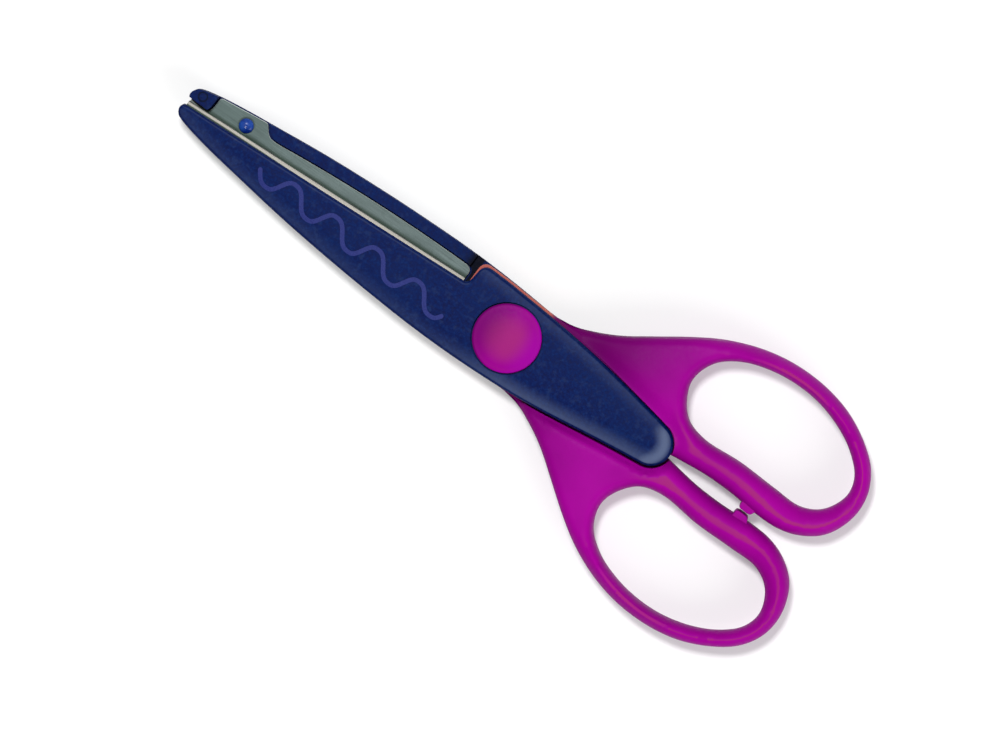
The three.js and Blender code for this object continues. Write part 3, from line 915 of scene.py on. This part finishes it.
def make_blade(name, wave_side):
    """The L section along the cut, with its rim ground to the wave, and the plate with its step."""
    angle = math.atan(FLANGE_SLOPE)
    length = (BLADE_TIP_X - BLADE_ROOT_X) / math.cos(angle)
    bend = [(BEND_RADIUS - BEND_RADIUS * math.cos(t), PLATE_OUT - BEND_RADIUS + BEND_RADIUS * math.sin(t))
            for t in np.radians(np.linspace(0, 90, 9))]
    into_plate = 1.5 * STEEL
    section = [(0, 0), *bend, (into_plate, PLATE_OUT), (into_plate, PLATE_IN), (STEEL, PLATE_IN), (STEEL, 0)]
    steps = 220
    vertices = []
    for i in range(steps + 1):
        s = length * i / steps
        for across, z in section:
            x = BLADE_ROOT_X + s * math.cos(angle) - across * math.sin(angle)
            y = flange_line(BLADE_ROOT_X) + s * math.sin(angle) + across * math.cos(angle)
            if z == 0:
                z = wave_side * wave(math.hypot(x, y)) + WAVE_GAP
            vertices.append((x, y, z))
    n = len(section)
    faces = [tuple(range(n)), tuple(range(steps * n, (steps + 1) * n))[::-1]]
    for i in range(steps):
        for k in range(n):
            a, b = i * n + k, i * n + (k + 1) % n
            faces.append((a, b, b + n, a + n))
    obj = new_object(name, vertices, faces)
    tidy(obj)
    plate = softened(prism(plate_outline(0), PLATE_IN, PLATE_OUT), 0.22, angle=60, segments=3)
    x, y, head, _ = RIVETS["tip"]
    dish_rim, dish_floor, dish_depth = head + 0.45, head + 0.1, 0.14
    dish = turned("tool", [
        (0, PLATE_IN - 1), (dish_rim, PLATE_IN - 1), (dish_rim, PLATE_IN),
        (dish_floor, PLATE_IN + dish_depth), (0, PLATE_IN + dish_depth),
    ], 64, x, y)
    return combine(combine(obj, "UNION", plate), "DIFFERENCE", dish)


def make_rivet(name, x, y, head, height):
    """A staked plastic head on its shank: a dome with a small dimple in its middle."""
    under = PLATE_IN - 0.05
    dimple, dimple_floor, dimple_rise = head * 0.28, 0.86, 0.12
    profile = [(0, under - height * dimple_floor)]
    for t in np.linspace(0, 1, 5)[1:]:
        profile.append((dimple * t, under - height * (dimple_floor + dimple_rise * t * t)))
    for t in np.radians(np.linspace(20, 90, 10)):
        profile.append((head * math.sin(t), under - height * math.cos(t)))
    profile += [(RIVET_SHANK, under), (RIVET_SHANK, RIVET_END), (0, RIVET_END)]
    return turned(name, profile, 48, x, y)


def make_cap(name):
    """A snap-on cap: a slightly domed face with a soft edge, and a skirt."""
    face, crown, soft, drop = HALF_THICKNESS, 0.7, 0.6, 0.35
    start = face - crown * (1 - soft / CAP_RADIUS) ** 2
    edge = [(CAP_RADIUS - soft + soft * math.sin(t), start - drop * (1 - math.cos(t)))
            for t in np.radians(np.linspace(90, 10, 9))]
    dome = [(r, face - crown * (r / CAP_RADIUS) ** 2) for r in np.linspace(CAP_RADIUS - 0.8, 0.6, 12)]
    skirt_in, skirt_end = CAP_SKIRT_RADIUS - 1, 2.9
    return turned(name, [
        (0, CAP_UNDER), (skirt_in, CAP_UNDER), (skirt_in, skirt_end), (CAP_SKIRT_RADIUS, skirt_end),
        (CAP_SKIRT_RADIUS, CAP_UNDER), (CAP_RADIUS - 0.15, CAP_UNDER), *edge, *dome, (0, face),
    ], 128)


def make_print(name):
    """The printed wave on the front housing: a thin ribbon with round ends, laid on the crowned face."""
    half_width, thick, sunk = 0.475, 0.05, 0.15
    start_x, end_x, crest_x = 13.8, 62.6, 21.6
    height, roundness, lean = 2.12, 0.08, 0.12
    xs = np.arange(start_x, end_x, 0.25)
    turn = 2 * math.pi * (xs - crest_x) / WAVE_LENGTH
    turn -= lean * np.cos(turn)
    swing = height / (1 - roundness) * (np.cos(turn) - roundness * np.cos(3 * turn))
    middle_line = 4.13 - 0.029 * xs
    middle = np.column_stack((xs, middle_line - swing))
    along = np.gradient(middle, axis=0)
    along /= np.linalg.norm(along, axis=1)[:, None]
    across = np.column_stack((-along[:, 1], along[:, 0]))
    ends = []
    for k, sign in ((-1, 1), (0, -1)):
        out, side = along[k] * sign, across[k] * sign
        turn = np.radians(np.linspace(80, -80, 9))[:, None]
        ends.append(middle[k] + half_width * (out * np.cos(turn) - side * np.sin(turn)))
    outline = joined(middle - across * half_width, ends[0], (middle + across * half_width)[::-1], ends[1])
    leaf = housing_outline()

    def top(p):
        return leaf_top(p, leaf) + thick

    def under(p):
        return leaf_top(p, leaf) - sunk

    return shaped(name, outline, [], top, under, [0.2, 0.42], coarse=0.6)


# ------------------------------------------------------------------ assembly

for side, wave_side in (("front", 1), ("rear", -1)):
    body = f"{side}_half"
    made = (
        ("blade_housing", make_housing, (), "housing_blue", HOUSING),
        ("handle", make_handle, (), "handle_magenta", HANDLE),
        ("wave_blade", make_blade, (wave_side,), "blade_steel", BLADES[side]),
        ("pivot_cap", make_cap, (), "handle_magenta", HANDLE),
    )
    for piece, make, sizes, slot, material in made:
        obj = make(f"{side}_{piece}_fine", *sizes)
        finished(obj, side, body, slot, material, f"{side}_{piece}")
    for place, sizes in RIVETS.items():
        obj = make_rivet(f"{side}_{place}_rivet_fine", *sizes)
        finished(obj, side, body, "rivet_blue", RIVET, f"{side}_{place}_rivet", angle=50)

finished(make_print("front_wave_print"), "front", "front_half", "print_violet", PRINT)

for name, material in (
    ("pivot_screw", PIVOT), ("pivot_barrel_nut", PIVOT), ("pivot_spring_washer", PIVOT),
    ("front_flat_washer", PIVOT), ("rear_flat_washer", PIVOT), ("pivot_thrust_washer", NYLON),
):
    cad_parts[name].data.materials.clear()
    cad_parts[name].data.materials.append(material)

# ------------------------------------------------------------------ stage, light and camera


def make_floor():
    """A plain pale sheet just under the part."""
    bpy.ops.mesh.primitive_plane_add(size=4, location=(0, 0, CAD_LOW.z - 0.0002))
    floor = bpy.context.object
    floor.name = "floor"
    finish = Finish(
        "floor_paper", Roughness=0.9, Specular_IOR_Level=0.2, Base_Color=linear(203, 203, 203),
        Emission_Color=(1, 1, 1, 1), Emission_Strength=0.26,
    )
    floor.data.materials.append(finish.material)


def soft_light(name, azimuth, elevation, distance_m, size, power):
    """A round area light that looks at the pivot, from an azimuth (degrees from +X towards +Y) and an
    elevation."""
    data = bpy.data.lights.new(name, "AREA")
    data.shape = "DISK"
    data.size = size
    data.energy = power
    light = bpy.data.objects.new(name, data)
    bpy.context.scene.collection.objects.link(light)
    a, e = math.radians(azimuth), math.radians(elevation)
    direction = Vector((math.cos(e) * math.cos(a), math.cos(e) * math.sin(a), math.sin(e)))
    light.location = direction * distance_m
    light.rotation_euler = (-direction).to_track_quat("-Z", "Y").to_euler()


def make_world(horizon, zenith):
    """A soft white room that is brighter at the horizon than overhead."""
    world = bpy.data.worlds.new("soft_white")
    bpy.context.scene.world = world
    world.use_nodes = True
    tree = world.node_tree
    direction = tree.nodes.new("ShaderNodeTexCoord").outputs["Generated"]
    split = tree.nodes.new("ShaderNodeSeparateXYZ")
    tree.links.new(direction, split.inputs[0])
    bright = tree.nodes.new("ShaderNodeMapRange")
    bright.inputs["From Min"].default_value = 0.0
    bright.inputs["From Max"].default_value = 1.0
    bright.inputs["To Min"].default_value = horizon
    bright.inputs["To Max"].default_value = zenith
    tree.links.new(split.outputs["Z"], bright.inputs["Value"])
    background = tree.nodes["Background"]
    background.inputs["Color"].default_value = (1, 1, 1, 1)
    tree.links.new(bright.outputs[0], background.inputs["Strength"])


def make_camera():
    """Almost straight down, tilted a little so that it looks from the -Y side, tips at the picture's upper
    left."""
    tilt, away, width = math.radians(4.5), 2.0, 0.210
    target = Vector((-3.4 * MM, 7.4 * MM, SHEAR_Z * MM))
    forward = Vector((0, math.sin(tilt), -math.cos(tilt)))
    up_azimuth = math.radians(-53.623)
    up = Vector((math.cos(up_azimuth), math.sin(up_azimuth), 0))
    right = forward.cross(up).normalized()
    up = right.cross(forward).normalized()
    data = bpy.data.cameras.new("camera")
    data.sensor_width = 36
    data.lens = 36 * away / width
    data.clip_end = 20
    camera = bpy.data.objects.new("camera", data)
    bpy.context.scene.collection.objects.link(camera)
    turn = Matrix((right, up, -forward)).transposed().to_4x4()
    camera.matrix_world = Matrix.Translation(target - forward * away) @ turn
    bpy.context.scene.camera = camera


make_floor()
make_world(horizon=0.55, zenith=0.15)
soft_light("key", azimuth=-45, elevation=74, distance_m=1.2, size=0.2, power=13)
soft_light("fill", azimuth=165, elevation=32, distance_m=1.2, size=0.9, power=8)
make_camera()
bpy.context.scene.view_settings.view_transform = "Standard"
